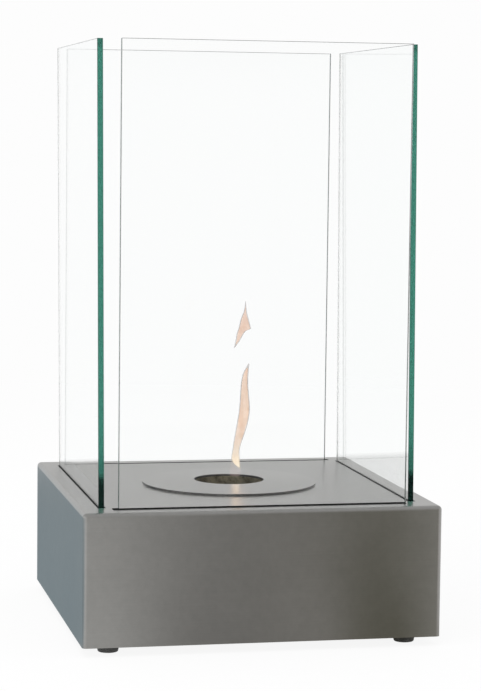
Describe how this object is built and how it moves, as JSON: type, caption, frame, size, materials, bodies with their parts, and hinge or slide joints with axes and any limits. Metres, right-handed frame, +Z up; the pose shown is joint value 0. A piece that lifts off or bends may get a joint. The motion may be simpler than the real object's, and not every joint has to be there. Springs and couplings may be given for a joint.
{
  "type": "bioethanol fireplace",
  "caption": "Free-standing bioethanol fireplace: a square brushed-steel base with a round drop-in burner under a flat cover disc, ringed by tall loose clear glass panes.",
  "frame": {"origin": "on the floor, under the middle of the square base", "axes": "+Z up, the base's front faces -Y, +X to the right seen from the front"},
  "size_m": [0.38, 0.38, 0.63],
  "materials": {
    "brushed_stainless": "fine-ground stainless sheet, satin, grain in one direction",
    "mill_stainless": "plain cold-rolled stainless sheet, not ground",
    "burner_stainless": "pressed stainless, dull, a little heat-stained",
    "heat_tinted_steel": "stainless darkened olive and brown by the flame",
    "fixing_steel": "zinc-bright screws, nuts and washers",
    "toughened_glass": "clear float glass, edges ground and green",
    "foot_rubber": "matt black rubber",
    "liner_rubber": "matt black heat-resistant rubber",
    "fibre_gasket": "pressed glass-fibre gasket",
    "ceramic_wool": "off-white ceramic fibre wool"
  },
  "bodies": {
    "base": {"housing": "brushed_stainless", "bottom_plate": "mill_stainless", "corner_bracket_back_right": "mill_stainless", "corner_bracket_back_left": "mill_stainless", "corner_bracket_front_left": "mill_stainless", "corner_bracket_front_right": "mill_stainless", "bracket_nuts": "fixing_steel", "foot_back_right": "foot_rubber", "foot_back_left": "foot_rubber", "foot_front_left": "foot_rubber", "foot_front_right": "foot_rubber", "foot_washers": "fixing_steel", "foot_screws": "fixing_steel", "glass_channel_front": "mill_stainless", "glass_channel_right": "mill_stainless", "glass_channel_back": "mill_stainless", "glass_channel_left": "mill_stainless", "channel_liner_front": "liner_rubber", "channel_liner_right": "liner_rubber", "channel_liner_back": "liner_rubber", "channel_liner_left": "liner_rubber", "seat_gasket": "fibre_gasket"},
    "burner": {"burner_tank": "burner_stainless", "burner_flange": "burner_stainless", "ceramic_wool": "ceramic_wool", "perforated_screen": "burner_stainless", "screen_snap_ring": "burner_stainless"},
    "cover": {"burner_plate": "brushed_stainless", "neck_collar": "heat_tinted_steel", "centring_ring": "burner_stainless"},
    "pane_front": {"glass_pane_front": "toughened_glass"},
    "pane_right": {"glass_pane_right": "toughened_glass"},
    "pane_back": {"glass_pane_back": "toughened_glass"},
    "pane_left": {"glass_pane_left": "toughened_glass"}
  },
  "joints": [
    {"name": "burner_lift", "type": "slide", "parent": "base", "child": "burner", "axis": [0, 0, 1], "range_m": [0, 0.085]},
    {"name": "cover_lift", "type": "slide", "parent": "burner", "child": "cover", "axis": [0, 0, 1], "range_m": [0, 0.06]},
    {"name": "pane_front_lift", "type": "slide", "parent": "base", "child": "pane_front", "axis": [0, 0, 1], "range_m": [0, 0.04]},
    {"name": "pane_right_lift", "type": "slide", "parent": "base", "child": "pane_right", "axis": [0, 0, 1], "range_m": [0, 0.04]},
    {"name": "pane_back_lift", "type": "slide", "parent": "base", "child": "pane_back", "axis": [0, 0, 1], "range_m": [0, 0.04]},
    {"name": "pane_left_lift", "type": "slide", "parent": "base", "child": "pane_left", "axis": [0, 0, 1], "range_m": [0, 0.04]}
  ]
}
